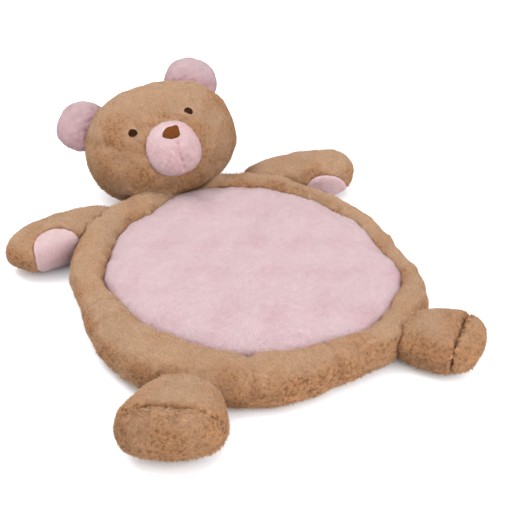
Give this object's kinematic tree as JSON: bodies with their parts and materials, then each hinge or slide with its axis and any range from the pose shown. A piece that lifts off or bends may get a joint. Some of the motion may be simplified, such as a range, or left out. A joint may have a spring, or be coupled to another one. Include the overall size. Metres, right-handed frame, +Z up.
{
  "type": "bear shaped kids rug",
  "caption": "Plush play rug shaped like a teddy bear lying on its back: padded ring body, soft belly pad, stuffed head, arms and feet.",
  "frame": {"origin": "on the floor, under the middle of the bounding box of the whole rug", "axes": "+Y from the feet towards the head, +X towards the side of the right arm as seen with the head up, +Z up out of the floor"},
  "size_m": [0.757, 0.986, 0.2431],
  "materials": {
    "brown_plush": "short soft plush pile, matt, light tan brown",
    "pink_plush": "short soft plush pile, matt, pale pink",
    "nose_cloth": "close satin-stitched cloth, chestnut brown",
    "eye_thread": "close embroidery thread, dark brown"
  },
  "bodies": {
    "root": {"body_ring": "brown_plush", "belly_pad": "pink_plush", "head": "brown_plush", "ear_left": "pink_plush", "ear_right": "pink_plush", "muzzle": "pink_plush", "nose": "nose_cloth", "eye_left": "eye_thread", "eye_right": "eye_thread", "arm_left": "brown_plush", "arm_right": "brown_plush", "paw_left": "pink_plush", "paw_right": "pink_plush", "foot_left": "brown_plush", "foot_right": "brown_plush", "sole_left": "brown_plush", "sole_right": "brown_plush"}
  },
  "joints": []
}
